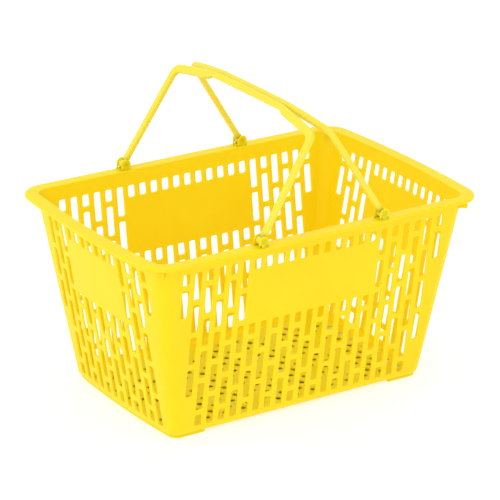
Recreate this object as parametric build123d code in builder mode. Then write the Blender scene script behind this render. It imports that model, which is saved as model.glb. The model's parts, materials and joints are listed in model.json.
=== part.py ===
from build123d import *
import os
from math import cos, radians, sin, sqrt

# Hand-held shopping basket: one injection moulding with a flared rim, slotted walls and a
# perforated floor, and two swinging bail handles that lean together over its middle.
# Frame: +X along the long side, +Y to the rear, +Z up, origin under the middle of the basket
# on the plane that its feet stand on. Millimetres.

# Overall form
RIM_LENGTH = 500.0
RIM_WIDTH = 334.6
RIM_HEIGHT = 250.5
RIM_RADIUS = 35.0
RIM_END_BOW = 8.5
BASE_LENGTH = 385.2
BASE_WIDTH = 236.6
BASE_RADIUS = 15.0
BASE_END_BOW = 5.0
WALL = 2.5
TOE_RADIUS = 9.0

# Rim flange and its turned-down lip
FLANGE_WIDTH = 14.5
FLANGE_THICKNESS = 2.4
LIP_DROP = 4.4
LIP_THICKNESS = 2.2
RIM_EDGE = 1.6
LIP_EDGE = 0.5

# Floor and feet
FLOOR_LEVEL = 2.6
FLOOR_THICKNESS = 2.5
FLOOR_MARGIN = 12.0
FLOOR_RADIUS = 2.5
FLOOR_HOLE = 8.0
FLOOR_HOLE_PITCH_X = 26.6
FLOOR_HOLE_PITCH_Y = 25.6
FLOOR_HOLE_COLUMNS = 13
FLOOR_HOLE_ROWS = 7
FOOT_WIDTH = 7.0
FOOT_INSET = 3.0
FOOT_RADIUS = 14.2
FOOT_START = 140.0

# Wall slots: staggered columns of long slots, with a short one at each end of every other column
SLOT_PITCH = 17.0
SLOT_WIDTH = 9.6
SLOT_RADIUS = 2.4
LONG_SLOT = 38.0
SHORT_SLOT = 15.5
SLOT_GAP = 7.0
SLOT_TOP = 231.0
SLOTS_PER_COLUMN = 5
LONG_WALL_LAST_COLUMN = 11
END_WALL_LAST_COLUMN = 7
LONG_WALL_PANEL_COLUMN = 5
END_WALL_PANEL_COLUMN = 3
PANEL_BOTTOM = 141.0
SLOT_MARGIN = 1.5
END_PATTERN_SHIFT = 6.4

# Corner gussets: solid blocks under the flange
GUSSET_THICKNESS = 9.0
GUSSET_DROP = 14.0
GUSSET_REACH = 7.5
GUSSET_GAP = 0.04

# Handle pivots
PIVOT_X = 89.0
PIVOT_Y = 160.0
PIVOT_RISE = 7.0
EAR_RADIUS = 7.0
EAR_THICKNESS = 2.2
EAR_SKIN = 0.8
EAR_GAP = 9.2
EAR_PAD = 1.0
NOTCH_WIDTH = 2.6
NOTCH_HEIGHT = 1.8
NOTCH_OFFSET = 4.2
TRUNNION_RADIUS = 3.0
TRUNNION_CLEARANCE = 0.06
TRUNNION_END_GAP = 0.3
EYE_RADIUS = 5.4
EYE_WIDTH = 8.2

# Handle bail, in its own plane: radius is measured from the pivot axis
HANDLE_LEAN = 32.9
HANDLE_THICKNESS = 7.0
LEG_WIDTH = 8.2
LEG_START_RADIUS = 3.0
BEND_OUTER_Y = 158.0
BEND_OUTER_RADIUS = 144.5
SHOULDER_DEPTH = 9.4
SHOULDER_TOP_Y = 112.0
SHOULDER_TOP_RADIUS = 152.5
GRIP_TOP_RADIUS = 159.2
GRIP_CROWN = 0.8
GRIP_DEPTH = 9.4
GRIP_HALF_LENGTH = 76.0
STEP_HALF_LENGTH = 85.0
STEP_RADIUS = 145.2
BEND_FILLET = 16.0
BEND_INNER_FILLET = 9.0
STEP_FILLET = 3.0
HANDLE_EDGE = 1.8

# Levels worked out from the sizes above
FLANGE_UNDERSIDE = RIM_HEIGHT - FLANGE_THICKNESS
LIP_BOTTOM = RIM_HEIGHT - LIP_DROP
PIVOT_Z = RIM_HEIGHT + PIVOT_RISE
WALL_TOP_LENGTH = RIM_LENGTH - 2 * FLANGE_WIDTH
WALL_TOP_WIDTH = RIM_WIDTH - 2 * FLANGE_WIDTH
WALL_TOP_RADIUS = RIM_RADIUS - FLANGE_WIDTH
LONG_SLOT_PITCH = LONG_SLOT + SLOT_GAP


def save(part, name):
    """Label one finished piece and write it."""
    part.label = name
    export_step(part, f"parts/{name}.step")


def bowed_outline(level, length, width, radius, bow):
    """Rounded rectangle with outward-bowed ends, on a horizontal plane."""
    end_x = length / 2 - bow
    side_y = width / 2
    with BuildSketch(Plane.XY.offset(level)) as outline:
        with BuildLine():
            Line((-end_x, side_y), (end_x, side_y))
            ThreePointArc((end_x, side_y), (length / 2, 0), (end_x, -side_y))
            Line((end_x, -side_y), (-end_x, -side_y))
            ThreePointArc((-end_x, -side_y), (-length / 2, 0), (-end_x, side_y))
        make_face()
        fillet(outline.vertices(), radius)
    return outline.sketch


def blend(base, top, level):
    """Value at a level for a size that runs straight from the floor to the flange."""
    return base + (top - base) * (level - FLOOR_LEVEL) / (FLANGE_UNDERSIDE - FLOOR_LEVEL)


def wall_outline(level, inset):
    """The tapered wall's outline at a level, moved in by a horizontal distance."""
    return bowed_outline(
        level,
        blend(BASE_LENGTH, WALL_TOP_LENGTH, level) - 2 * inset,
        blend(BASE_WIDTH, WALL_TOP_WIDTH, level) - 2 * inset,
        blend(BASE_RADIUS, WALL_TOP_RADIUS, level) - inset,
        blend(BASE_END_BOW, RIM_END_BOW, level),
    )


def column_spans(column, panel_column):
    """Bottom and top of every slot in one column, leaving out the blank panel."""
    top = SLOT_TOP
    bottom = SLOT_TOP - SLOTS_PER_COLUMN * LONG_SLOT_PITCH + SLOT_GAP
    spans = []
    if column % 2:
        spans.append((top - SHORT_SLOT, top))
        spans.append((bottom, bottom + SHORT_SLOT))
        first = top - SHORT_SLOT - SLOT_GAP
        count = SLOTS_PER_COLUMN - 1
    else:
        first = top
        count = SLOTS_PER_COLUMN
    for row in range(count):
        slot_top = first - row * LONG_SLOT_PITCH
        spans.append((slot_top - LONG_SLOT, slot_top))
    panel_top = SLOT_TOP - SHORT_SLOT
    kept = []
    for low, high in spans:
        if abs(column) <= panel_column:
            if low < panel_top < high:
                low = panel_top
            if low < PANEL_BOTTOM < high:
                high = PANEL_BOTTOM
            if PANEL_BOTTOM < high <= panel_top:
                continue
        kept.append((low, high))
    return kept


def slot_pattern(plane, last_column, panel_column, shift, base_reach, top_reach):
    """All the slots of one wall as a sketch on an upright plane.

    The wall is flat out to a reach that widens from the floor to the flange, and a slot that
    would run past it into the rounded corner is left out.
    """
    centres = {}
    for column in range(-last_column, last_column + 1):
        across = shift + column * SLOT_PITCH
        for low, high in column_spans(column, panel_column):
            if abs(across) + SLOT_WIDTH / 2 + SLOT_MARGIN < blend(base_reach, top_reach, low):
                centres.setdefault(high - low, []).append((across, (low + high) / 2))
    with BuildSketch(plane) as pattern:
        for height, points in centres.items():
            with Locations(*points):
                RectangleRounded(SLOT_WIDTH, height, SLOT_RADIUS)
    return pattern.sketch


def floor_hole_centres():
    """Centres of the floor's round holes, every other place of a grid."""
    return [
        (column * FLOOR_HOLE_PITCH_X / 2, row * FLOOR_HOLE_PITCH_Y / 2)
        for row in range(-FLOOR_HOLE_ROWS, FLOOR_HOLE_ROWS + 1)
        for column in range(-FLOOR_HOLE_COLUMNS, FLOOR_HOLE_COLUMNS + 1)
        if (row + column) % 2 == 0
    ]


def slanted_plane(base, top, along_x):
    """Plane that leans out with the walls, facing away from the middle.

    It passes through the distance base at the floor and top at the flange, measured along X
    or along Y, and its normal points outwards and slightly down.
    """
    rise = FLANGE_UNDERSIDE - FLOOR_LEVEL
    if along_x:
        return Plane(origin=(base, 0, FLOOR_LEVEL), x_dir=(0, 1, 0), z_dir=(rise, 0, base - top))
    return Plane(origin=(0, base, FLOOR_LEVEL), x_dir=(1, 0, 0), z_dir=(0, rise, base - top))


# Where the flat walls meet the corner posts
FLAT_BASE_X = BASE_LENGTH / 2 - BASE_END_BOW - BASE_RADIUS
FLAT_TOP_X = WALL_TOP_LENGTH / 2 - RIM_END_BOW - WALL_TOP_RADIUS
FLAT_BASE_Y = BASE_WIDTH / 2 - BASE_RADIUS
FLAT_TOP_Y = WALL_TOP_WIDTH / 2 - WALL_TOP_RADIUS
RIGHT_CUT = slanted_plane(FLAT_BASE_X, FLAT_TOP_X, True)
REAR_CUT = slanted_plane(FLAT_BASE_Y, FLAT_TOP_Y, False)
LEFT_CUT = slanted_plane(-FLAT_BASE_X, -FLAT_TOP_X, True)
FRONT_CUT = slanted_plane(-FLAT_BASE_Y, -FLAT_TOP_Y, False)

# Each region of the moulding, as the side to keep of each slanted plane. The left and front
# planes share the right and rear planes' sense of outwards, so their inner side is the top one.
REGIONS = {
    "front": [(RIGHT_CUT, Keep.BOTTOM), (LEFT_CUT, Keep.TOP), (FRONT_CUT, Keep.BOTTOM)],
    "rear": [(RIGHT_CUT, Keep.BOTTOM), (LEFT_CUT, Keep.TOP), (REAR_CUT, Keep.TOP)],
    "left": [(REAR_CUT, Keep.BOTTOM), (FRONT_CUT, Keep.TOP), (LEFT_CUT, Keep.BOTTOM)],
    "right": [(REAR_CUT, Keep.BOTTOM), (FRONT_CUT, Keep.TOP), (RIGHT_CUT, Keep.TOP)],
    "front_left": [(LEFT_CUT, Keep.BOTTOM), (FRONT_CUT, Keep.BOTTOM)],
    "front_right": [(RIGHT_CUT, Keep.TOP), (FRONT_CUT, Keep.BOTTOM)],
    "rear_left": [(LEFT_CUT, Keep.BOTTOM), (REAR_CUT, Keep.TOP)],
    "rear_right": [(RIGHT_CUT, Keep.TOP), (REAR_CUT, Keep.TOP)],
}

os.makedirs("parts", exist_ok=True)

# The tub: tapered walls that turn into the floor through a rounded toe
with BuildPart() as cavity:
    loft(
        [wall_outline(FLOOR_LEVEL + FLOOR_THICKNESS, WALL), wall_outline(FLANGE_UNDERSIDE, WALL)],
        ruled=True,
    )
    fillet(cavity.edges().group_by(Axis.Z)[0], TOE_RADIUS - WALL)

with BuildPart() as tub:
    loft([wall_outline(FLOOR_LEVEL, 0), wall_outline(FLANGE_UNDERSIDE, 0)], ruled=True)
    fillet(tub.edges().group_by(Axis.Z)[0], TOE_RADIUS)
    add(cavity.part, mode=Mode.SUBTRACT)

# Floor: the flat middle of the tub's bottom, with staggered round holes
with BuildPart() as floor_panel:
    add(bowed_outline(
        FLOOR_LEVEL,
        BASE_LENGTH - 2 * FLOOR_MARGIN,
        BASE_WIDTH - 2 * FLOOR_MARGIN,
        FLOOR_RADIUS,
        BASE_END_BOW,
    ))
    extrude(amount=FLOOR_THICKNESS)
    with BuildSketch(Plane.XY.offset(FLOOR_LEVEL)):
        with Locations(*floor_hole_centres()):
            Circle(FLOOR_HOLE / 2)
    extrude(amount=FLOOR_THICKNESS, mode=Mode.SUBTRACT)
save(floor_panel.part, "floor_panel")

# The ring of wall that is left outside the floor
with BuildPart() as wall_ring:
    add(tub.part)
    add(bowed_outline(
        FLOOR_LEVEL,
        BASE_LENGTH - 2 * FLOOR_MARGIN,
        BASE_WIDTH - 2 * FLOOR_MARGIN,
        FLOOR_RADIUS,
        BASE_END_BOW,
    ))
    extrude(amount=FLOOR_THICKNESS, mode=Mode.SUBTRACT)

# Section through a long wall, from the floor's edge round the toe and up to the flange
FLOOR_TOP = FLOOR_LEVEL + FLOOR_THICKNESS
FLOOR_EDGE_Y = BASE_WIDTH / 2 - FLOOR_MARGIN
TOE_INNER_Y = blend(BASE_WIDTH, WALL_TOP_WIDTH, FLOOR_TOP) / 2 - WALL
with BuildSketch(Plane.YZ.offset(-RIM_LENGTH / 2)) as wall_section:
    with BuildLine():
        Polyline(
            (FLOOR_EDGE_Y, FLOOR_LEVEL),
            (BASE_WIDTH / 2, FLOOR_LEVEL),
            (WALL_TOP_WIDTH / 2, FLANGE_UNDERSIDE),
            (WALL_TOP_WIDTH / 2 - WALL, FLANGE_UNDERSIDE),
            (TOE_INNER_Y, FLOOR_TOP),
            (FLOOR_EDGE_Y, FLOOR_TOP),
            close=True,
        )
    make_face()
    toe = wall_section.vertices().filter_by(lambda v: FLOOR_EDGE_Y < v.X < TOE_INNER_Y + 2 * WALL)
    fillet(toe.group_by(Axis.X)[-1], TOE_RADIUS)
    fillet(toe.group_by(Axis.X)[0], TOE_RADIUS - WALL)

# Two long walls, with the slots cut straight through along Y
with BuildPart() as long_wall:
    extrude(wall_section.sketch, amount=RIM_LENGTH)
    split(bisect_by=RIGHT_CUT, keep=Keep.BOTTOM)
    split(bisect_by=LEFT_CUT, keep=Keep.TOP)
    pattern = slot_pattern(
        Plane.XZ,
        LONG_WALL_LAST_COLUMN,
        LONG_WALL_PANEL_COLUMN,
        0,
        FLAT_BASE_X,
        FLAT_TOP_X,
    )
    extrude(pattern, amount=-RIM_WIDTH, mode=Mode.SUBTRACT)
save(long_wall.part, "rear_wall")

with BuildPart() as front_wall:
    add(long_wall.part.mirror(Plane.XZ))
save(front_wall.part, "front_wall")

# Two bowed end walls, with the slots cut straight through along X
for side, sign in (("left", -1), ("right", 1)):
    with BuildPart() as end_wall:
        add(wall_ring.part)
        for cut, keep in REGIONS[side]:
            split(bisect_by=cut, keep=keep)
        pattern = slot_pattern(
            Plane.YZ,
            END_WALL_LAST_COLUMN,
            END_WALL_PANEL_COLUMN,
            -sign * END_PATTERN_SHIFT,
            FLAT_BASE_Y,
            FLAT_TOP_Y,
        )
        extrude(pattern, amount=sign * RIM_LENGTH, mode=Mode.SUBTRACT)
    save(end_wall.part, f"{side}_end_wall")

# Four plain rounded corner posts between the walls
for corner in ("front_left", "front_right", "rear_left", "rear_right"):
    with BuildPart() as post:
        add(wall_ring.part)
        for cut, keep in REGIONS[corner]:
            split(bisect_by=cut, keep=keep)
    save(post.part, f"{corner}_corner_post")

# Rim: a flat flange round the mouth with a turned-down lip, in four sides and four corners
with BuildPart() as rim:
    add(bowed_outline(LIP_BOTTOM, RIM_LENGTH, RIM_WIDTH, RIM_RADIUS, RIM_END_BOW))
    extrude(amount=LIP_DROP)
    fillet(rim.edges().group_by(Axis.Z)[-1], RIM_EDGE)
    fillet(rim.edges().group_by(Axis.Z)[0], LIP_EDGE)
    add(bowed_outline(
        LIP_BOTTOM,
        RIM_LENGTH - 2 * LIP_THICKNESS,
        RIM_WIDTH - 2 * LIP_THICKNESS,
        RIM_RADIUS - LIP_THICKNESS,
        RIM_END_BOW,
    ))
    extrude(amount=LIP_DROP - FLANGE_THICKNESS, mode=Mode.SUBTRACT)
    add(bowed_outline(
        FLANGE_UNDERSIDE,
        WALL_TOP_LENGTH - 2 * WALL,
        WALL_TOP_WIDTH - 2 * WALL,
        WALL_TOP_RADIUS - WALL,
        RIM_END_BOW,
    ))
    extrude(amount=FLANGE_THICKNESS, mode=Mode.SUBTRACT)
for side, cuts in REGIONS.items():
    with BuildPart() as rim_length:
        add(rim.part)
        for cut, keep in cuts:
            split(bisect_by=cut, keep=keep)
    save(rim_length.part, f"{side}_rim")


def corner_centre(level):
    """Centre of the right rear corner's arc at a level, where it meets the bowed end and the side."""
    half_length = blend(BASE_LENGTH, WALL_TOP_LENGTH, level) / 2
    half_width = blend(BASE_WIDTH, WALL_TOP_WIDTH, level) / 2
    bow = blend(BASE_END_BOW, RIM_END_BOW, level)
    radius = blend(BASE_RADIUS, WALL_TOP_RADIUS, level)
    end_radius = (half_width**2 + bow**2) / (2 * bow)
    centre_y = half_width - radius
    centre_x = half_length - end_radius + sqrt((end_radius - radius) ** 2 - centre_y**2)
    return centre_x, centre_y


def gusset_reach(level):
    """Distance from the top corner's centre to the wall's outer face, along the block's middle."""
    top_x, top_y = corner_centre(FLANGE_UNDERSIDE)
    level_x, level_y = corner_centre(level)
    along = (top_x - level_x + top_y - level_y) / sqrt(2)
    across = (top_x - level_x - top_y + level_y) / sqrt(2)
    radius = blend(BASE_RADIUS, WALL_TOP_RADIUS, level)
    return sqrt(radius**2 - across**2) - along


# Gussets: one solid block under the flange at each corner, standing off the wall by a hair
CORNER_X, CORNER_Y = corner_centre(FLANGE_UNDERSIDE)
with BuildPart() as corner_gussets:
    for x_side in (-1, 1):
        for y_side in (-1, 1):
            web_plane = Plane(
                origin=(x_side * CORNER_X, y_side * CORNER_Y, FLANGE_UNDERSIDE),
                x_dir=(x_side, y_side, 0),
                z_dir=(y_side, -x_side, 0),
            )
            with BuildSketch(web_plane):
                with BuildLine():
                    Polyline(
                        (WALL_TOP_RADIUS + GUSSET_GAP, 0),
                        (WALL_TOP_RADIUS + GUSSET_REACH, 0),
                        (WALL_TOP_RADIUS + GUSSET_REACH, -GUSSET_DROP * web_plane.y_dir.Z),
                        (
                            gusset_reach(FLANGE_UNDERSIDE - GUSSET_DROP) + GUSSET_GAP,
                            -GUSSET_DROP * web_plane.y_dir.Z,
                        ),
                        close=True,
                    )
                make_face()
            extrude(amount=GUSSET_THICKNESS / 2, both=True)
save(corner_gussets.part, "corner_gussets")

# Feet: a U-shaped ridge under the floor's edge at each end, round both of its corners
with BuildPart() as end_feet:
    add(bowed_outline(
        0,
        BASE_LENGTH - 2 * FOOT_INSET,
        BASE_WIDTH - 2 * FOOT_INSET,
        FOOT_RADIUS,
        BASE_END_BOW,
    ))
    extrude(amount=FLOOR_LEVEL)
    with BuildSketch(Plane.XY):
        Rectangle(2 * FOOT_START, BASE_WIDTH)
        Rectangle(
            BASE_LENGTH - 2 * (FOOT_INSET + BASE_END_BOW + FOOT_WIDTH),
            BASE_WIDTH - 2 * (FOOT_INSET + FOOT_WIDTH),
        )
    extrude(amount=FLOOR_LEVEL, mode=Mode.SUBTRACT)
save(end_feet.part, "end_feet")

# Pivot brackets: two round-topped ears on a thin pad, bored from inside for the handle's
# trunnions and closed outside, with two small notches at the foot of the outer ear
EAR_OUTER = EAR_GAP / 2 + EAR_THICKNESS
BORE_RADIUS = TRUNNION_RADIUS + TRUNNION_CLEARANCE
for y_name, y_side in (("front", -1), ("rear", 1)):
    for x_name, x_side in (("left", -1), ("right", 1)):
        pivot = Plane(
            origin=(x_side * PIVOT_X, y_side * PIVOT_Y, PIVOT_Z),
            x_dir=(1, 0, 0),
            z_dir=(0, -1, 0),
        )
        with BuildPart() as bracket:
            with BuildSketch(pivot):
                Circle(EAR_RADIUS)
                with Locations((0, -PIVOT_RISE)):
                    Rectangle(2 * EAR_RADIUS, PIVOT_RISE, align=(Align.CENTER, Align.MIN))
            extrude(amount=EAR_OUTER, both=True)
            with BuildSketch(pivot):
                with Locations((0, EAR_PAD - PIVOT_RISE)):
                    Rectangle(2 * EAR_RADIUS, 2 * EAR_RADIUS, align=(Align.CENTER, Align.MIN))
            extrude(amount=EAR_GAP / 2, both=True, mode=Mode.SUBTRACT)
            with BuildSketch(pivot):
                Circle(BORE_RADIUS)
            extrude(amount=EAR_OUTER - EAR_SKIN, both=True, mode=Mode.SUBTRACT)
            with BuildSketch(pivot.offset(-y_side * EAR_GAP / 2)):
                with Locations(
                    (-NOTCH_OFFSET, EAR_PAD - PIVOT_RISE),
                    (NOTCH_OFFSET, EAR_PAD - PIVOT_RISE),
                ):
                    Rectangle(NOTCH_WIDTH, NOTCH_HEIGHT, align=(Align.CENTER, Align.MIN))
            extrude(amount=-y_side * EAR_THICKNESS, mode=Mode.SUBTRACT)
        save(bracket.part, f"{y_name}_{x_name}_pivot_bracket")


def handle_outline():
    """Half outline of the bail in its plane: x is the distance from the middle, y the radius."""
    leg_inner = PIVOT_Y - LEG_WIDTH / 2
    bend_inner_y = BEND_OUTER_Y - LEG_WIDTH
    return [
        (0, GRIP_TOP_RADIUS),
        (GRIP_HALF_LENGTH, GRIP_TOP_RADIUS - GRIP_CROWN),
        (SHOULDER_TOP_Y, SHOULDER_TOP_RADIUS),
        (BEND_OUTER_Y, BEND_OUTER_RADIUS),
        (leg_inner + LEG_WIDTH, LEG_START_RADIUS),
        (leg_inner, LEG_START_RADIUS),
        (bend_inner_y, BEND_OUTER_RADIUS - SHOULDER_DEPTH),
        (STEP_HALF_LENGTH, STEP_RADIUS),
        (GRIP_HALF_LENGTH, GRIP_TOP_RADIUS - GRIP_DEPTH),
        (0, GRIP_TOP_RADIUS - GRIP_DEPTH),
    ]


# Handles: a flat bail with a raised straight grip, and a round eye and trunnion at each leg
for name, x_side in (("left_handle", -1), ("right_handle", 1)):
    lean = radians(HANDLE_LEAN)
    bail_plane = Plane(
        origin=(x_side * PIVOT_X, 0, PIVOT_Z),
        x_dir=(0, 1, 0),
        z_dir=(cos(lean), 0, x_side * sin(lean)),
    )
    axle_plane = Plane(origin=(x_side * PIVOT_X, 0, PIVOT_Z), x_dir=(1, 0, 0), z_dir=(0, -1, 0))
    with BuildPart() as handle:
        with BuildSketch(bail_plane) as bail:
            with BuildLine():
                Polyline(handle_outline())
                mirror(about=Plane.YZ)
            make_face()
            upper = bail.vertices().filter_by(lambda v: v.Y > LEG_START_RADIUS)
            bends = upper.filter_by(lambda v: abs(v.X) > SHOULDER_TOP_Y)
            fillet(bends.filter_by(lambda v: v.Y == BEND_OUTER_RADIUS), BEND_FILLET)
            fillet(bends.filter_by(lambda v: v.Y < BEND_OUTER_RADIUS), BEND_INNER_FILLET)
            fillet(upper.filter_by(lambda v: abs(v.X) == STEP_HALF_LENGTH), STEP_FILLET)
        extrude(amount=HANDLE_THICKNESS / 2, both=True)
        fillet(handle.edges(), HANDLE_EDGE)
        for y_side in (-1, 1):
            eye_plane = axle_plane.offset(-y_side * PIVOT_Y)
            with BuildSketch(eye_plane):
                Circle(EYE_RADIUS)
            extrude(amount=EYE_WIDTH / 2, both=True)
            with BuildSketch(eye_plane):
                Circle(TRUNNION_RADIUS)
            extrude(amount=EAR_OUTER - EAR_SKIN - TRUNNION_END_GAP, both=True)
    save(handle.part, name)
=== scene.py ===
"""Plastic shopping basket: the looks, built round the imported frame.

Sizes are in millimetres along the frame's own axes, and become metres where a mesh is written.
"""

import functools
import json
import math

import bmesh
import bpy
from mathutils import Matrix, Vector
from mathutils.geometry import delaunay_2d_cdt


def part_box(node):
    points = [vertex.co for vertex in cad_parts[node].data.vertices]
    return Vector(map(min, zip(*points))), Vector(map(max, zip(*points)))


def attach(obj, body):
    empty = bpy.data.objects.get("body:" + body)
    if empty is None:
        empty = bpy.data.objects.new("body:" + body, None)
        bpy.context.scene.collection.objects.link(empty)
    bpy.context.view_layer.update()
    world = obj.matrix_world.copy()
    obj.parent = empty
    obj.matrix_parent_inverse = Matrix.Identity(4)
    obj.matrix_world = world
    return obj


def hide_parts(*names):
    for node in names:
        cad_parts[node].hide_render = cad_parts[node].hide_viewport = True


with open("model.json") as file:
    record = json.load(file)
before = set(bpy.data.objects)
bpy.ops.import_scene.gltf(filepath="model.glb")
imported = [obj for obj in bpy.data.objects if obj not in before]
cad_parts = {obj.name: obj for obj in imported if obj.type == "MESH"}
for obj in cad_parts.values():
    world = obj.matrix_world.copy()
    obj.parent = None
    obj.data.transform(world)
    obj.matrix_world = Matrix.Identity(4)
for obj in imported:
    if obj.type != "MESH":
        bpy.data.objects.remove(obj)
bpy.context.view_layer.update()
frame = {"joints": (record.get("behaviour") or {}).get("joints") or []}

MM = 0.001


def node_box(node):
    """Lowest and highest corner of a CAD node, in millimetres."""
    low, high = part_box(node)
    return low / MM, high / MM


# Sizes read from the frame
RIM_HALF_LENGTH = node_box("right_rim")[1].x
RIM_HALF_WIDTH = node_box("rear_rim")[1].y
RIM_BOTTOM = node_box("front_rim")[0].z
RIM_TOP = node_box("front_rim")[1].z
FLOOR_BOTTOM = node_box("floor_panel")[0].z
FLOOR_TOP = node_box("floor_panel")[1].z
FLANGE_BOTTOM = node_box("front_wall")[1].z
PIVOTS = {joint["child"]: Vector(joint["pos_m"]) / MM for joint in frame["joints"]}

# Walls
WALL = 2.5
WALL_LEAN = math.radians(9.0)
FLANGE_WIDTH = 14.5
TOP_RADIUS = 20.5
TOP_BOW = 8.5
TOP_HALF_LENGTH = RIM_HALF_LENGTH - FLANGE_WIDTH
TOP_HALF_WIDTH = RIM_HALF_WIDTH - FLANGE_WIDTH
BASE_HALF_LENGTH = 192.6
BASE_HALF_WIDTH = 118.3
BASE_RADIUS = 15.0
BASE_BOW = 5.0
TOE_RADIUS = 9.0
PATTERN_BOTTOM = 11.0
PATTERN_TOP = 247.3

# Rim
LIP_THICKNESS = 2.2
RIM_EDGE = 1.6
MOUTH_EDGE = 0.8
LIP_EDGE = 0.5
UNDER_FILLET = FLANGE_BOTTOM - PATTERN_TOP

# Slots
SLOT_PITCH = 17.0
SLOT_WIDTH = 9.6
SLOT_RADIUS = 2.4
LONG_SLOT = 38.0
SHORT_SLOT = 15.5
SLOT_GAP = 7.0
SLOT_TOP = 231.0
SLOTS_PER_COLUMN = 5
PANEL_BOTTOM = 141.0
SLOT_MARGIN = 1.5
END_PATTERN_SHIFT = 6.4
SIDE_COLUMNS = {"last": 11, "panel": 5}
END_COLUMNS = {"last": 7, "panel": 3}
HOLE_EDGE = 0.55
EAR_EDGE = 0.7

# Floor
FLOOR_HOLE_RADIUS = 4.0
FLOOR_HOLE_STEP_X = 13.3
FLOOR_HOLE_STEP_Y = 12.8
FLOOR_HOLE_COLUMNS = 13
FLOOR_HOLE_ROWS = 7
FLOOR_EDGE_INSET = 9.5

# Feet and gussets
FOOT_START = 140.0
FOOT_WIDTH = 7.0
FOOT_INSET = 3.0
GUSSET_DROP = 14.0
GUSSET_REACH = 7.5
GUSSET_THICKNESS = 9.0

# Pivot brackets
BRACKET_Y = 160.0
EAR_RADIUS = 7.0
EAR_THICKNESS = 2.2
EAR_SKIN = 0.8
EAR_GAP = 9.2
EAR_OUTER = EAR_GAP / 2 + EAR_THICKNESS
EAR_PAD = 1.0
BORE_RADIUS = 3.06
NOTCH = (2.6, 1.8)
NOTCH_OFFSET = 4.2

# Handles, in their own plane: y from the middle, and the radius from the pivot axis
HANDLE_LEAN = math.radians(32.9)
HANDLE_THICKNESS = 7.0
HANDLE_EDGE = 1.8
EYE_RADIUS = 5.4
EYE_WIDTH = 8.2
TRUNNION_RADIUS = 3.0
TRUNNION_END_GAP = 0.3
HANDLE_OUTER = [(0, 159.2), (76, 158.4), (112, 152.5), (158, 144.5), (164.1, 3)]
HANDLE_OUTER_RADII = [90, 90, 16]
HANDLE_INNER = [(0, 149.8), (77, 149.8), (85, 145.4), (149.8, 135.1), (155.9, 3)]
HANDLE_INNER_RADII = [5, 5, 9]

# Studio sweep: its painted glow, and the painted shade where that glow fades out under the basket
SWEEP_GLOW = 0.6
SHADE_EDGE = 8.0
SHADE_FADE = 16.0

# How finely curves are divided
SIDE_STEPS = 48
END_STEPS = 32
CORNER_STEPS = 10
LEVEL_STEPS = 32
EDGE_STEPS = 2
SLOT_CORNER_STEPS = 4
ROUND_STEPS = 20
TOE_STEPS = 6
HANDLE_STRAIGHT_STEPS = [6, 2, 5, 10]
HANDLE_ARC_STEPS = [4, 4, 10]

# How meshes are triangulated and shaded
FLAT_FACE_WEIGHT = 100
TRIANGULATE_INSIDE = 1
TRIANGULATE_TOLERANCE = 1e-4


def lerp(start, end, share):
    return start + (end - start) * share


def spread(start, end, steps):
    """Evenly spaced values from start up to, but not including, end."""
    return [lerp(start, end, i / steps) for i in range(steps)]


class Outline:
    """Horizontal outline with straight long sides, outward-bowed ends and round corners."""

    def __init__(self, half_length, half_width, radius, bow):
        self.side_y = half_width
        self.radius = radius
        self.end_radius = (half_width**2 + bow**2) / (2 * bow)
        self.end_centre = half_length - self.end_radius
        self.corner_y = half_width - radius
        self.flat_x = half_length - bow - radius
        reach = math.sqrt((self.end_radius - radius) ** 2 - self.corner_y**2)
        self.corner_x = self.end_centre + reach
        self.turn = math.atan2(self.corner_y, reach)
        self.end_y = self.end_radius * math.sin(self.turn)

    def end_x(self, y):
        """X of the right end at a given y."""
        return self.end_centre + math.sqrt(self.end_radius**2 - y**2)

    def corner(self, share):
        """Point of the right rear corner, from the end at 0 to the long side at 1."""
        angle = lerp(self.turn, math.pi / 2, share)
        return (
            self.corner_x + self.radius * math.cos(angle),
            self.corner_y + self.radius * math.sin(angle),
        )

    def ring(self, level):
        """Points right round at a level, always the same number of them."""
        half = [(self.end_x(y), y) for y in spread(-self.end_y, self.end_y, END_STEPS)]
        half += [self.corner(share) for share in spread(0, 1, CORNER_STEPS)]
        half += [(x, self.side_y) for x in spread(self.corner_x, -self.corner_x, SIDE_STEPS)]
        half += [(-x, y) for x, y in map(self.corner, spread(1, 0, CORNER_STEPS))]
        return [(x, y, level) for x, y in half + [(-x, -y) for x, y in half]]


@functools.lru_cache(maxsize=None)
def wall_outline(level, inset=0.0):
    """The tapered wall's outline at a level, moved in by a horizontal distance."""
    share = (level - FLOOR_BOTTOM) / (FLANGE_BOTTOM - FLOOR_BOTTOM)
    return Outline(
        lerp(BASE_HALF_LENGTH, TOP_HALF_LENGTH, share) - inset,
        lerp(BASE_HALF_WIDTH, TOP_HALF_WIDTH, share) - inset,
        lerp(BASE_RADIUS, TOP_RADIUS, share) - inset,
        lerp(BASE_BOW, TOP_BOW, share),
    )


def rim_outline(outset):
    """The rim's outline at a distance outside the top of the wall."""
    return Outline(
        TOP_HALF_LENGTH + outset,
        TOP_HALF_WIDTH + outset,
        TOP_RADIUS + outset,
        TOP_BOW,
    )


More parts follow.
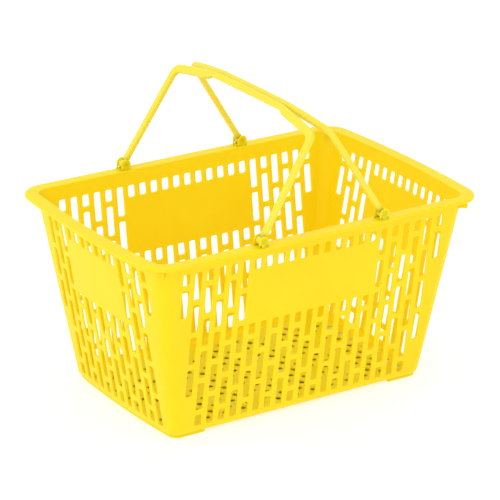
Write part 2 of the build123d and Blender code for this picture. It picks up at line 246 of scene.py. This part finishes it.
class Shell:
    """Vertices and faces in millimetres, welded into one closed mesh at the end."""

    WELD = 0.002

    def __init__(self):
        self.points = []
        self.faces = []

    def loft(self, rings, closed=True):
        """Quads between neighbouring rings that have the same number of points."""
        count = len(rings[0])
        first = len(self.points)
        for ring in rings:
            self.points += ring
        for row in range(len(rings) - 1):
            for i in range(count if closed else count - 1):
                a = first + row * count + i
                b = first + row * count + (i + 1) % count
                self.faces.append((a, b, b + count, a + count))

    def cap(self, ring):
        """One face across a ring."""
        first = len(self.points)
        self.points += ring
        self.faces.append(tuple(range(first, first + len(ring))))

    def perforated(self, boundary, lines, holes, edge, thickness, place):
        """Both faces of a plate, and the rounded walls of the holes through it.

        boundary and lines are points on the plate, a hole gives its closed outline for a margin
        round it, and place turns a point on the plate and a depth into a point in space.
        """
        for depth in (0.0, thickness):
            self.sheet(boundary, lines, [hole(edge) for hole in holes], depth, place)
        for hole in holes:
            self.hole_wall(hole, edge_profile(edge, thickness), place)

    def hole_wall(self, hole, profile, place):
        """The wall of a hole along a profile of margins and depths; returns its rings."""
        rings = [[place(u, v, depth) for u, v in hole(margin)] for margin, depth in profile]
        self.loft(rings)
        return rings

    def sheet(self, boundary, lines, loops, depth, place):
        """One face of a plate, open inside each of the loops."""
        loops = [boundary] + loops
        flat = []
        outlines = []
        edges = []
        for loop in loops:
            outlines.append(list(range(len(flat), len(flat) + len(loop))))
            flat += loop
        for line in lines:
            edges += [(i, i + 1) for i in range(len(flat), len(flat) + len(line) - 1)]
            flat += line
        points = [Vector(p) for p in flat]
        made = delaunay_2d_cdt(points, edges, outlines, TRIANGULATE_INSIDE, TRIANGULATE_TOLERANCE)
        kept = [face for face, sources in zip(made[2], made[5]) if sources == [0]]
        first = len(self.points)
        self.points += [place(p.x, p.y, depth) for p in made[0]]
        self.faces += [tuple(first + i for i in face) for face in kept]

    def plate(self, outline, edge, thickness, place):
        """A closed plate with a rounded outer edge, outline(margin)."""
        self.perforated(outline(-edge), [], [], edge, thickness, place)
        self.skirt(outline, edge, thickness, place)

    def skirt(self, outline, edge, thickness, place):
        """The rounded outer edge of a plate."""
        self.loft([
            [place(u, v, depth) for u, v in outline(-margin)]
            for margin, depth in edge_profile(edge, thickness)
        ])

    def bored_plate(self, outline, holes, bore, skin, edge, thickness, place):
        """A plate with holes through it and a bore that stops at a skin on the side of depth 0."""
        through = [hole(edge) for hole in holes]
        self.sheet(outline(-edge), [], through, 0.0, place)
        self.sheet(outline(-edge), [], through + [bore(edge)], thickness, place)
        self.skirt(outline, edge, thickness, place)
        for hole in holes:
            self.hole_wall(hole, edge_profile(edge, thickness), place)
        profile = [(0.0, skin)] + edge_profile(edge, thickness)[EDGE_STEPS + 1:]
        rings = self.hole_wall(bore, profile, place)
        self.cap(rings[0])

    def build(self, name, body, material, replaced):
        """Turn the shell into a piece that rides on a body and stands for CAD nodes."""
        mesh = bpy.data.meshes.new(name)
        mesh.from_pydata([Vector(p) * MM for p in self.points], [], self.faces)
        form = bmesh.new()
        form.from_mesh(mesh)
        bmesh.ops.remove_doubles(form, verts=form.verts, dist=self.WELD * MM)
        bmesh.ops.dissolve_degenerate(form, edges=form.edges, dist=self.WELD * MM)
        loose = [v for v in form.verts if not v.link_faces]
        bmesh.ops.delete(form, geom=loose, context="VERTS")
        bmesh.ops.recalc_face_normals(form, faces=form.faces)
        form.to_mesh(mesh)
        form.free()
        mesh.polygons.foreach_set("use_smooth", [True] * len(mesh.polygons))
        mesh.materials.append(material)
        piece = bpy.data.objects.new(name, mesh)
        bpy.context.scene.collection.objects.link(piece)
        shading = piece.modifiers.new("flat faces stay flat", "WEIGHTED_NORMAL")
        shading.weight = FLAT_FACE_WEIGHT
        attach(piece, body)
        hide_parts(*replaced)


def edge_profile(edge, thickness):
    """Margin and depth across a wall whose two edges are rounded by edge."""
    turns = [math.pi / 2 * i / EDGE_STEPS for i in range(EDGE_STEPS + 1)]
    front = [(edge * (1 - math.sin(turn)), edge * (1 - math.cos(turn))) for turn in turns]
    return front + [(margin, thickness - depth) for margin, depth in reversed(front)]


def arc(centre, radius, start, end, steps):
    """Points on an arc between two angles in degrees, both ends included."""
    turns = [math.radians(lerp(start, end, i / steps)) for i in range(steps + 1)]
    return [(centre[0] + radius * math.cos(t), centre[1] + radius * math.sin(t)) for t in turns]


def rounded_box(centre, width, height, radius):
    """A rounded rectangle's outline as a function of the margin round it."""

    def outline(margin):
        reach_u = width / 2 - radius
        reach_v = height / 2 - radius
        points = []
        for quarter, (side_u, side_v) in enumerate(((1, 1), (-1, 1), (-1, -1), (1, -1))):
            corner = (centre[0] + side_u * reach_u, centre[1] + side_v * reach_v)
            start = 90 * quarter
            points += arc(corner, radius + margin, start, start + 90, SLOT_CORNER_STEPS)
        return points

    return outline


def circle(centre, radius):
    """A circle's outline as a function of the margin round it."""

    def outline(margin):
        return arc(centre, radius + margin, 0, 360, ROUND_STEPS)[:-1]

    return outline


# Slotted walls


def column_spans(column, panel):
    """Bottom and top of every slot in one column, leaving out the blank panel."""
    pitch = LONG_SLOT + SLOT_GAP
    bottom = SLOT_TOP - SLOTS_PER_COLUMN * pitch + SLOT_GAP
    if column % 2:
        spans = [(SLOT_TOP - SHORT_SLOT, SLOT_TOP), (bottom, bottom + SHORT_SLOT)]
        first = SLOT_TOP - SHORT_SLOT - SLOT_GAP
        tops = [first - row * pitch for row in range(SLOTS_PER_COLUMN - 1)]
    else:
        spans = []
        tops = [SLOT_TOP - row * pitch for row in range(SLOTS_PER_COLUMN)]
    spans += [(top - LONG_SLOT, top) for top in tops]
    if abs(column) <= panel:
        panel_top = SLOT_TOP - SHORT_SLOT
        above = [(max(low, panel_top), high) for low, high in spans if high > panel_top]
        below = [(low, min(high, PANEL_BOTTOM)) for low, high in spans if low < PANEL_BOTTOM]
        spans = above + below
    return spans


def wall_slots(reach, columns, shift):
    """Every slot of one wall, leaving out those that would run into a rounded corner."""
    last = columns["last"]
    slots = []
    for column in range(-last, last + 1):
        across = shift + column * SLOT_PITCH
        for low, high in column_spans(column, columns["panel"]):
            if abs(across) + SLOT_WIDTH / 2 + SLOT_MARGIN < reach(low):
                centre = (across, (low + high) / 2)
                slots.append(rounded_box(centre, SLOT_WIDTH, high - low, SLOT_RADIUS))
    return slots


LEVELS = [lerp(PATTERN_BOTTOM, PATTERN_TOP, i / LEVEL_STEPS) for i in range(LEVEL_STEPS + 1)]


def wall_boundary(reach, steps):
    """Boundary of a wall's unrolled face, where reach(level) is its half length."""
    bottom = [(u, LEVELS[0]) for u in spread(-reach(LEVELS[0]), reach(LEVELS[0]), steps)]
    right = [(reach(level), level) for level in LEVELS[:-1]]
    top = [(u, LEVELS[-1]) for u in spread(reach(LEVELS[-1]), -reach(LEVELS[-1]), steps)]
    left = [(-reach(level), level) for level in reversed(LEVELS[1:])]
    return bottom + right + top + left


def strip_lines(reach, columns, shift):
    """Upright lines midway between the slot columns, wherever the wall is wide enough."""
    lines = []
    for column in range(-columns["last"] - 1, columns["last"] + 1):
        u = shift + (column + 0.5) * SLOT_PITCH
        line = [(u, level) for level in LEVELS[1:-1] if abs(u) < reach(level) - SLOT_GAP / 2]
        if len(line) > 1:
            lines.append(line)
    return lines


def side_place(side):
    """Place for the front (-1) or rear (1) wall: u runs along X."""

    def place(u, level, inset):
        outer = wall_outline(level)
        shape = wall_outline(level, inset)
        return (u * shape.corner_x / outer.corner_x, side * shape.side_y, level)

    return place


def end_place(side):
    """Place for the left (-1) or right (1) end wall: u runs along Y."""

    def place(u, level, inset):
        outer = wall_outline(level)
        shape = wall_outline(level, inset)
        y = u * shape.end_y / outer.end_y
        return (side * shape.end_x(y), y, level)

    return place


def side_reach(level):
    return wall_outline(level).corner_x


def end_reach(level):
    return wall_outline(level).end_y


def add_walls(shell):
    """The four slotted walls and the plain round corners between them."""
    for side in (-1, 1):
        shell.perforated(
            wall_boundary(side_reach, SIDE_STEPS),
            strip_lines(side_reach, SIDE_COLUMNS, 0),
            wall_slots(lambda level: wall_outline(level).flat_x, SIDE_COLUMNS, 0),
            HOLE_EDGE,
            WALL,
            side_place(side),
        )
        shift = -side * END_PATTERN_SHIFT
        shell.perforated(
            wall_boundary(end_reach, END_STEPS),
            strip_lines(end_reach, END_COLUMNS, shift),
            wall_slots(lambda level: wall_outline(level).corner_y, END_COLUMNS, shift),
            HOLE_EDGE,
            WALL,
            end_place(side),
        )
    shares = [i / CORNER_STEPS for i in range(CORNER_STEPS + 1)]
    for side_x in (-1, 1):
        for side_y in (-1, 1):
            for inset in (0.0, WALL):
                rows = []
                for level in LEVELS:
                    corner = [wall_outline(level, inset).corner(share) for share in shares]
                    rows.append([(side_x * x, side_y * y, level) for x, y in corner])
                shell.loft(rows, closed=False)


# Toe, floor and rim


def toe_rings(radius, floor, inset):
    """Rings from the wall round the toe to the floor."""
    rings = [wall_outline(PATTERN_BOTTOM, inset).ring(PATTERN_BOTTOM)]
    for i in range(TOE_STEPS + 1):
        turn = lerp(WALL_LEAN, math.pi / 2, i / TOE_STEPS)
        drop = radius * math.sin(turn)
        level = floor + radius - drop
        lean_in = radius / math.cos(WALL_LEAN) - drop * math.tan(WALL_LEAN)
        moved_in = lean_in - radius * math.cos(turn)
        rings.append(wall_outline(level, inset + moved_in).ring(level))
    rings.append(wall_outline(FLOOR_BOTTOM, FLOOR_EDGE_INSET).ring(floor))
    return rings


def add_floor(shell):
    """The rounded toe and the floor with its staggered holes."""
    shell.loft(toe_rings(TOE_RADIUS, FLOOR_BOTTOM, 0.0))
    shell.loft(toe_rings(TOE_RADIUS - WALL, FLOOR_TOP, WALL))
    holes = [
        circle((column * FLOOR_HOLE_STEP_X, row * FLOOR_HOLE_STEP_Y), FLOOR_HOLE_RADIUS)
        for row in range(-FLOOR_HOLE_ROWS, FLOOR_HOLE_ROWS + 1)
        for column in range(-FLOOR_HOLE_COLUMNS, FLOOR_HOLE_COLUMNS + 1)
        if (row + column) % 2 == 0
    ]
    edge = wall_outline(FLOOR_BOTTOM, FLOOR_EDGE_INSET).ring(FLOOR_BOTTOM)
    shell.perforated(
        [(x, y) for x, y, z in edge],
        [],
        holes,
        HOLE_EDGE,
        FLOOR_TOP - FLOOR_BOTTOM,
        lambda x, y, depth: (x, y, FLOOR_BOTTOM + depth),
    )


def add_rim(shell):
    """The flange, its rounded edge and the lip that turns down from it."""
    lip_inside = FLANGE_WIDTH - LIP_THICKNESS
    profile = []
    for centre_x, centre_z, radius, start, end, steps in (
        (UNDER_FILLET, PATTERN_TOP, UNDER_FILLET, 180, 90, 3),
        (lip_inside - UNDER_FILLET, FLANGE_BOTTOM - UNDER_FILLET, UNDER_FILLET, 90, 0, 3),
        (lip_inside + LIP_EDGE, RIM_BOTTOM + LIP_EDGE, LIP_EDGE, 180, 270, 2),
        (FLANGE_WIDTH - LIP_EDGE, RIM_BOTTOM + LIP_EDGE, LIP_EDGE, 270, 360, 2),
        (FLANGE_WIDTH - RIM_EDGE, RIM_TOP - RIM_EDGE, RIM_EDGE, 0, 90, 4),
        (MOUTH_EDGE - WALL, RIM_TOP - MOUTH_EDGE, MOUTH_EDGE, 90, 180, 3),
    ):
        profile += arc((centre_x, centre_z), radius, start, end, steps)
    rings = [wall_outline(PATTERN_TOP).ring(PATTERN_TOP)]
    rings += [rim_outline(outset).ring(level) for outset, level in profile[1:]]
    rings.append(wall_outline(PATTERN_TOP, WALL).ring(PATTERN_TOP))
    shell.loft(rings)


# Small parts of the moulding


def add_feet(shell):
    """A U-shaped ridge under the floor's edge at each end, round both of its corners."""
    sunk = WALL - HOLE_EDGE / 2
    shares = [i / CORNER_STEPS for i in range(CORNER_STEPS + 1)]

    def path(inset, margin):
        shape = wall_outline(FLOOR_BOTTOM, inset)
        turn = [shape.corner(share) for share in shares] + [(FOOT_START - margin, shape.side_y)]
        run = [(shape.end_x(y), y) for y in spread(-shape.end_y, shape.end_y, END_STEPS)]
        return [(x, -y) for x, y in reversed(turn)] + run[1:] + turn

    def outline(margin):
        outer = path(FOOT_INSET - margin, margin)
        inner = path(FOOT_INSET + FOOT_WIDTH + margin, margin)
        return outer + inner[::-1]

    for side in (-1, 1):
        shell.plate(
            outline,
            HOLE_EDGE,
            FLOOR_BOTTOM + sunk,
            lambda x, y, depth: (side * x, y, depth),
        )


def add_gussets(shell):
    """A solid block under the flange at each corner."""
    middle = 0.5
    top = wall_outline(FLANGE_BOTTOM).corner(middle)
    low = wall_outline(FLANGE_BOTTOM - GUSSET_DROP).corner(middle)
    diagonal = Vector((1, 1, 0)).normalized()
    across = Vector((1, -1, 0)).normalized()
    lean = (Vector(top) - Vector(low)) @ Vector((1, 1)).normalized()
    sunk = WALL / 2

    def outline(margin):
        return [
            (-lean - sunk, -GUSSET_DROP - margin),
            (GUSSET_REACH + margin, -GUSSET_DROP - margin),
            (GUSSET_REACH + margin, sunk),
            (-sunk, sunk),
        ]

    def place(u, v, depth):
        start = Vector((top[0], top[1], FLANGE_BOTTOM))
        return start + diagonal * u + Vector((0, 0, v)) + across * (depth - GUSSET_THICKNESS / 2)

    for side_x in (-1, 1):
        for side_y in (-1, 1):
            shell.plate(
                outline,
                HOLE_EDGE,
                GUSSET_THICKNESS,
                lambda u, v, depth: tuple(place(u, v, depth) * Vector((side_x, side_y, 1))),
            )


def tombstone(base):
    """Round-topped outline round the pivot, standing on a level below it."""

    def outline(margin):
        return arc((0, 0), EAR_RADIUS + margin, 0, 180, ROUND_STEPS) + [
            (-EAR_RADIUS - margin, base),
            (EAR_RADIUS + margin, base),
        ]

    return outline


def add_bracket(shell, pivot_x, end, pivot_z):
    """Two ears on a thin pad, bored from inside, the outer one with two notches at its foot."""
    rise = pivot_z - RIM_TOP
    notch_z = EAR_PAD - rise + NOTCH[1] / 2
    notches = [rounded_box((side * NOTCH_OFFSET, notch_z), *NOTCH, HOLE_EDGE) for side in (-1, 1)]
    pivot_y = end * BRACKET_Y
    for side in (-1, 1):
        shell.bored_plate(
            tombstone(-rise - HOLE_EDGE),
            notches if side == end else [],
            circle((0, 0), BORE_RADIUS),
            EAR_SKIN,
            EAR_EDGE,
            EAR_THICKNESS,
            lambda x, z, depth: (pivot_x + x, pivot_y + side * (EAR_OUTER - depth), pivot_z + z),
        )
    pad_width = 2 * EAR_RADIUS - 2 * HOLE_EDGE
    pad = rounded_box((0, 0), pad_width, EAR_GAP + EAR_THICKNESS, HOLE_EDGE)
    shell.plate(
        pad,
        HOLE_EDGE / 2,
        EAR_PAD + HOLE_EDGE,
        lambda x, y, depth: (pivot_x + x, pivot_y + y, RIM_TOP + EAR_PAD - depth),
    )


# Handles


def rounded_path(corners, radii):
    """Points along a line of corners, all but its two ends rounded."""
    points = []
    start = Vector(corners[0])
    for i, radius in enumerate(radii):
        before, corner, after = (Vector(corners[i + k]) for k in range(3))
        into = (corner - before).normalized()
        out = (after - corner).normalized()
        turn = into.angle_signed(out)
        cut = radius * math.tan(abs(turn) / 2)
        enter = corner - into * cut
        points += [start.lerp(enter, share) for share in spread(0, 1, HANDLE_STRAIGHT_STEPS[i])]
        normal = Vector((into.y, -into.x)) * math.copysign(1, turn)
        centre = enter + normal * radius
        for share in spread(0, 1, HANDLE_ARC_STEPS[i]):
            points.append(centre + Matrix.Rotation(-turn * share, 2) @ (enter - centre))
        start = corner + out * cut
    last = Vector(corners[-1])
    points += [start.lerp(last, share) for share in spread(0, 1, HANDLE_STRAIGHT_STEPS[-1])]
    return points + [last]


def strap_section(outer, inner):
    """Rounded rectangle across the strap, as shares of its width and places in its thickness."""
    width = (outer - inner).length
    section = rounded_box((0, 0), width, HANDLE_THICKNESS, HANDLE_EDGE)(0)
    middle = (outer + inner) / 2
    along = (outer - inner).normalized()
    return [(*(middle + along * u), v) for u, v in section]


def add_handle(shell, side, pivot):
    """One bail: a flat strap with a raised grip, ending in round eyes with trunnions."""
    outer = rounded_path(HANDLE_OUTER, HANDLE_OUTER_RADII)
    inner = rounded_path(HANDLE_INNER, HANDLE_INNER_RADII)
    half = [strap_section(o, i) for o, i in zip(outer, inner)]
    up = Vector((-side * math.sin(HANDLE_LEAN), 0, math.cos(HANDLE_LEAN)))
    normal = Vector((side * math.cos(HANDLE_LEAN), 0, math.sin(HANDLE_LEAN)))

    def place(y, radius, depth):
        return pivot + Vector((0, y, 0)) + up * radius + normal * depth

    rings = [[place(y, radius, depth) for y, radius, depth in ring] for ring in half]
    mirrored = [[place(-y, radius, depth) for y, radius, depth in ring] for ring in half[1:]]
    strap = mirrored[::-1] + rings
    shell.loft(strap)
    shell.cap(strap[0])
    shell.cap(strap[-1])
    trunnion = 2 * (EAR_OUTER - EAR_SKIN - TRUNNION_END_GAP)
    for end in (-1, 1):
        for radius, length, edge in (
            (EYE_RADIUS, EYE_WIDTH, HANDLE_EDGE / 2),
            (TRUNNION_RADIUS, trunnion, HOLE_EDGE),
        ):
            start = pivot + Vector((0, end * BRACKET_Y - length / 2, 0))
            shell.plate(
                circle((0, 0), radius),
                edge,
                length,
                lambda x, z, depth: start + Vector((x, depth, z)),
            )


# Materials

WORN_COLOUR = (0.95, 0.82, 0.25, 1)
WORN_SHARE = 0.12
SCRATCH_SCALE = (60, 60, 900)
SCRATCH_TURN = (0.5, 0.3, 0.2)
SCRATCH_ROUGHNESS = 0.15
PLASTIC_IOR = 1.49
PLASTIC_SPECULAR = 0.22
PLASTIC_GLOW_RADIUS = (1.0, 0.75, 0.1)
PLASTIC_GLOW_SCALE = 0.006
SWEEP_GREY = 0.5
SWEEP_ROUGHNESS = 0.9
WHITE = (1, 1, 1, 1)


def node(tree, kind, **settings):
    """Add a shader node, set its properties, and set its inputs by name."""
    made = tree.nodes.new(kind)
    for name, value in settings.items():
        if name in made.inputs:
            made.inputs[name].default_value = value
        else:
            setattr(made, name, value)
    return made


def plastic(name, colour, deep, translucency):
    """Satin moulded polypropylene: grain, flow marks, dust-dulled gloss and fine scuffs."""
    material = bpy.data.materials.new(name)
    material.use_nodes = True
    tree = material.node_tree
    link = tree.links.new
    shader = tree.nodes["Principled BSDF"]
    place = node(tree, "ShaderNodeTexCoord")

    cloud = node(tree, "ShaderNodeTexNoise", Scale=9.0, Detail=3.0, Roughness=0.5)
    link(place.outputs["Object"], cloud.inputs["Vector"])
    flow = node(tree, "ShaderNodeMapRange", **{"From Min": 0.35, "From Max": 0.7})
    link(cloud.outputs["Fac"], flow.inputs["Value"])
    tint = node(tree, "ShaderNodeMix", data_type="RGBA")
    tint.inputs["A"].default_value = (*colour, 1)
    tint.inputs["B"].default_value = (*deep, 1)
    link(flow.outputs["Result"], tint.inputs["Factor"])

    stretch = node(tree, "ShaderNodeMapping")
    stretch.inputs["Scale"].default_value = SCRATCH_SCALE
    stretch.inputs["Rotation"].default_value = SCRATCH_TURN
    link(place.outputs["Object"], stretch.inputs["Vector"])
    scratch = node(tree, "ShaderNodeTexNoise", Scale=1.0, Detail=2.0, Roughness=0.6)
    link(stretch.outputs["Vector"], scratch.inputs["Vector"])
    marks = node(tree, "ShaderNodeMapRange", **{"From Min": 0.66, "From Max": 0.74})
    link(scratch.outputs["Fac"], marks.inputs["Value"])
    worn = node(tree, "ShaderNodeMix", data_type="RGBA")
    worn.inputs["B"].default_value = WORN_COLOUR
    link(tint.outputs["Result"], worn.inputs["A"])
    faint = node(tree, "ShaderNodeMath", operation="MULTIPLY")
    faint.inputs[1].default_value = WORN_SHARE
    link(marks.outputs["Result"], faint.inputs[0])
    link(faint.outputs["Value"], worn.inputs["Factor"])
    link(worn.outputs["Result"], shader.inputs["Base Color"])

    dull = node(tree, "ShaderNodeTexNoise", Scale=35.0, Detail=4.0, Roughness=0.6)
    link(place.outputs["Object"], dull.inputs["Vector"])
    gloss = node(tree, "ShaderNodeMapRange", **{"To Min": 0.36, "To Max": 0.5})
    link(dull.outputs["Fac"], gloss.inputs["Value"])
    rough = node(tree, "ShaderNodeMath", operation="MULTIPLY_ADD")
    rough.inputs[1].default_value = SCRATCH_ROUGHNESS
    link(marks.outputs["Result"], rough.inputs[0])
    link(gloss.outputs["Result"], rough.inputs[2])
    link(rough.outputs["Value"], shader.inputs["Roughness"])

    grain = node(tree, "ShaderNodeTexNoise", Scale=1400.0, Detail=2.0)
    link(place.outputs["Object"], grain.inputs["Vector"])
    ripple = node(tree, "ShaderNodeTexNoise", Scale=28.0, Detail=1.0)
    link(place.outputs["Object"], ripple.inputs["Vector"])
    fine = node(tree, "ShaderNodeBump", Strength=0.12, Distance=0.0001)
    link(grain.outputs["Fac"], fine.inputs["Height"])
    broad = node(tree, "ShaderNodeBump", Strength=0.25, Distance=0.0006)
    link(ripple.outputs["Fac"], broad.inputs["Height"])
    link(fine.outputs["Normal"], broad.inputs["Normal"])
    link(broad.outputs["Normal"], shader.inputs["Normal"])

    shader.inputs["IOR"].default_value = PLASTIC_IOR
    shader.inputs["Specular IOR Level"].default_value = PLASTIC_SPECULAR
    shader.inputs["Subsurface Weight"].default_value = translucency
    shader.inputs["Subsurface Radius"].default_value = PLASTIC_GLOW_RADIUS
    shader.inputs["Subsurface Scale"].default_value = PLASTIC_GLOW_SCALE
    return material


def glowing_floor_with_painted_shade():
    """Matt white sweep that glows white as painted light, its glow faded out under the basket as
    painted shade.
    """
    material = bpy.data.materials.new("studio_floor")
    material.use_nodes = True
    tree = material.node_tree
    link = tree.links.new
    shader = tree.nodes["Principled BSDF"]
    shader.inputs["Base Color"].default_value = (SWEEP_GREY, SWEEP_GREY, SWEEP_GREY, 1)
    shader.inputs["Roughness"].default_value = SWEEP_ROUGHNESS
    shader.inputs["Emission Color"].default_value = WHITE

    place = node(tree, "ShaderNodeTexCoord")
    parts = node(tree, "ShaderNodeSeparateXYZ")
    link(place.outputs["Object"], parts.inputs["Vector"])
    glow = None
    # painted shade: the glow fades to nothing over the basket's footprint, darkening the floor
    # under it
    for axis, half in (("X", BASE_HALF_LENGTH), ("Y", BASE_HALF_WIDTH)):
        away = node(tree, "ShaderNodeMath", operation="ABSOLUTE")
        link(parts.outputs[axis], away.inputs[0])
        fade = node(
            tree,
            "ShaderNodeMapRange",
            **{
                "From Min": (half - SHADE_EDGE - SHADE_FADE) * MM,
                "From Max": (half - SHADE_EDGE) * MM,
                "To Max": SWEEP_GLOW,
            },
        )
        link(away.outputs["Value"], fade.inputs["Value"])
        if glow:
            either = node(tree, "ShaderNodeMath", operation="MAXIMUM")
            link(glow.outputs["Result"], either.inputs[0])
            link(fade.outputs["Result"], either.inputs[1])
            link(either.outputs["Value"], shader.inputs["Emission Strength"])
        glow = fade
    return material


# Build the pieces

basket_plastic = plastic("basket_plastic", (0.97, 0.715, 0.004), (0.95, 0.685, 0.003), 0.7)
handle_plastic = plastic("handle_plastic", (0.90, 0.79, 0.075), (0.86, 0.75, 0.07), 0.5)

WALL_NODES = ["front_wall", "rear_wall", "left_end_wall", "right_end_wall", "floor_panel"]
REGIONS = [f"{y_side}_{x_side}" for y_side in ("front", "rear") for x_side in ("left", "right")]
RIM_NODES = [f"{side}_rim" for side in ["front", "rear", "left", "right"] + REGIONS]
POST_NODES = [f"{region}_corner_post" for region in REGIONS]

basket = Shell()
add_walls(basket)
add_floor(basket)
add_rim(basket)
MOULDING_NODES = WALL_NODES + RIM_NODES + POST_NODES
basket.build("basket_moulding", "basket", basket_plastic, MOULDING_NODES)

feet = Shell()
add_feet(feet)
feet.build("end_feet_ridges", "basket", basket_plastic, ["end_feet"])

gussets = Shell()
add_gussets(gussets)
gussets.build("corner_gusset_webs", "basket", basket_plastic, ["corner_gussets"])

for side_name, side in (("left", -1), ("right", 1)):
    handle_name = f"{side_name}_handle"
    pivot = PIVOTS[handle_name]
    for end_name, end in (("front", -1), ("rear", 1)):
        bracket = Shell()
        add_bracket(bracket, pivot.x, end, pivot.z)
        name = f"{end_name}_{side_name}_pivot_bracket"
        bracket.build(f"{name}_ears", "basket", basket_plastic, [name])
    handle = Shell()
    add_handle(handle, side, pivot)
    handle.build(f"{side_name}_bail", handle_name, handle_plastic, [handle_name])

# Studio: pale floor, soft light and the camera

STUDIO_HALF_SIZE = 6.0
WORLD_STRENGTH = 0.95
LIGHT_TARGET = Vector((0, 0, 0.15))

studio_corners = [
    (x * STUDIO_HALF_SIZE, y * STUDIO_HALF_SIZE, 0) for x, y in ((-1, -1), (1, -1), (1, 1), (-1, 1))
]
floor_mesh = bpy.data.meshes.new("studio_floor")
floor_mesh.from_pydata(studio_corners, [], [(0, 1, 2, 3)])
floor_mesh.materials.append(glowing_floor_with_painted_shade())
studio_floor = bpy.data.objects.new("studio_floor", floor_mesh)
bpy.context.scene.collection.objects.link(studio_floor)

world = bpy.data.worlds.new("studio")
world.use_nodes = True
background = world.node_tree.nodes["Background"]
background.inputs["Color"].default_value = WHITE
background.inputs["Strength"].default_value = WORLD_STRENGTH
bpy.context.scene.world = world
bpy.context.scene.view_settings.view_transform = "Standard"


def softbox(name, location, size, power):
    """A large square light aimed at the basket."""
    data = bpy.data.lights.new(name, "AREA")
    data.size = size
    data.energy = power
    lamp = bpy.data.objects.new(name, data)
    lamp.location = location
    aim = LIGHT_TARGET - lamp.location
    lamp.rotation_euler = aim.to_track_quat("-Z", "Y").to_euler()
    bpy.context.scene.collection.objects.link(lamp)


softbox("key", (-2.0, -0.6, 1.8), 1.6, 9)
softbox("overhead", (0.2, 0.3, 2.4), 1.8, 2)

CAMERA_AZIMUTH = math.radians(-33.486)
CAMERA_ELEVATION = math.radians(21.566)
CAMERA_ROLL = math.radians(0.52)
CAMERA_DISTANCE = 3.6927
CAMERA_TARGET = Vector((0.00098, 0, 0.17285))
CAMERA_LENS = 209.7
CAMERA_CLIP = 100.0

back = Vector((
    math.sin(CAMERA_AZIMUTH) * math.cos(CAMERA_ELEVATION),
    -math.cos(CAMERA_AZIMUTH) * math.cos(CAMERA_ELEVATION),
    math.sin(CAMERA_ELEVATION),
))
level_right = Vector((math.cos(CAMERA_AZIMUTH), math.sin(CAMERA_AZIMUTH), 0))
level_up = back.cross(level_right)
right = level_right * math.cos(CAMERA_ROLL) + level_up * math.sin(CAMERA_ROLL)
axes = Matrix((right, back.cross(right), back)).transposed().to_4x4()
camera_data = bpy.data.cameras.new("camera")
camera_data.lens = CAMERA_LENS
camera_data.clip_end = CAMERA_CLIP
camera = bpy.data.objects.new("camera", camera_data)
camera.matrix_world = Matrix.Translation(CAMERA_TARGET + back * CAMERA_DISTANCE) @ axes
bpy.context.scene.collection.objects.link(camera)
bpy.context.scene.camera = camera
